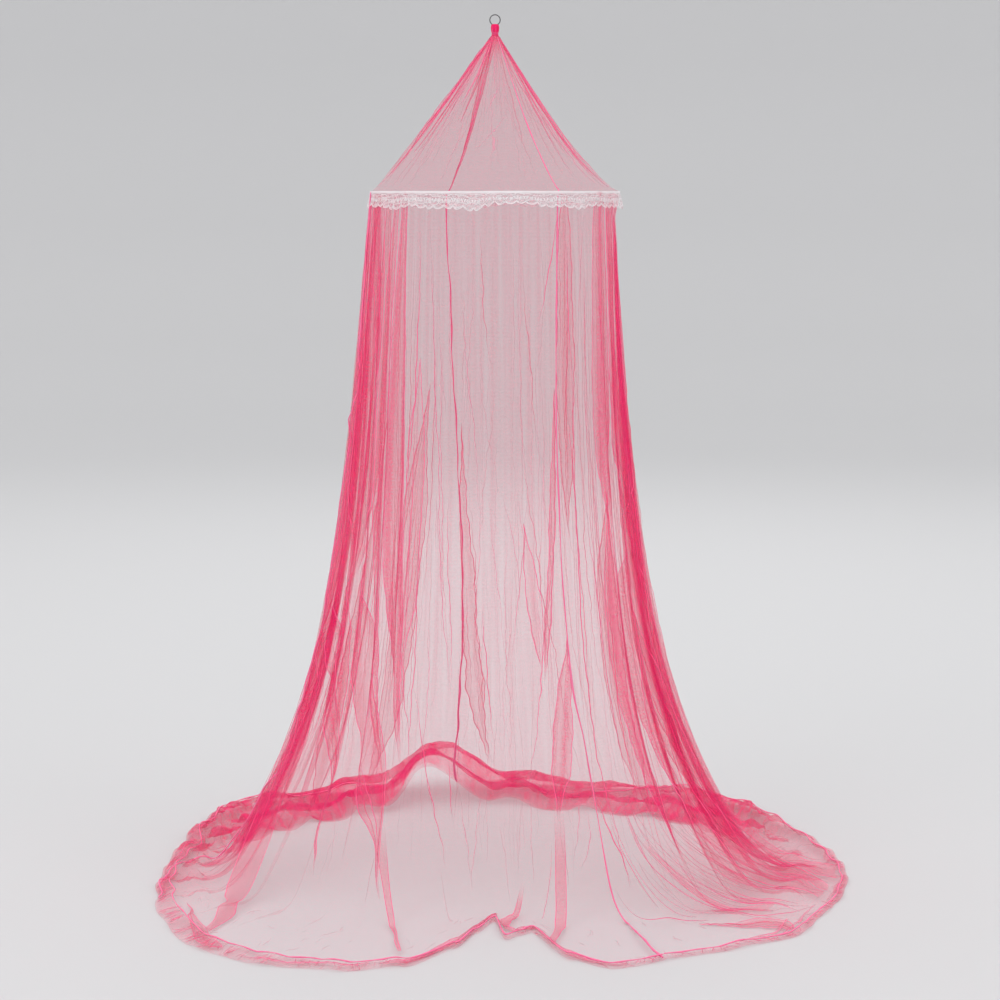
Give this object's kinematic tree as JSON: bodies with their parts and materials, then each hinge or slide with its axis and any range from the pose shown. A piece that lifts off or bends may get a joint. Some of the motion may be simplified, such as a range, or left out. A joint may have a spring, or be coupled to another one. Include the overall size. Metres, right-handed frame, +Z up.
{
  "type": "mosquito net canopy with hoop and hanging ring",
  "caption": "Sheer pink net canopy gathered to a hanging ring over a lace-trimmed hoop, its long skirt sweeping out in folds and heaped hems over the floor.",
  "frame": {"origin": "the hanging point, inside the top of the wire ring, where a ceiling hook carries it", "axes": "+Z up, -Y towards the front where the hem is notched, +X to the right seen from the front"},
  "size_m": [1.7242, 1.7521, 2.1287],
  "materials": {
    "net": "sheer fine hexagonal net, soft sheen",
    "lace": "openwork lace, matte white with a pink cast",
    "ring_steel": "plain bent wire",
    "hoop_plastic": "smooth white rod"
  },
  "bodies": {
    "root": {"top_ring": "ring_steel", "roof_net": "net", "hoop": "hoop_plastic", "lace_trim": "lace", "skirt_panel_right": "net", "skirt_panel_left": "net"}
  },
  "joints": []
}
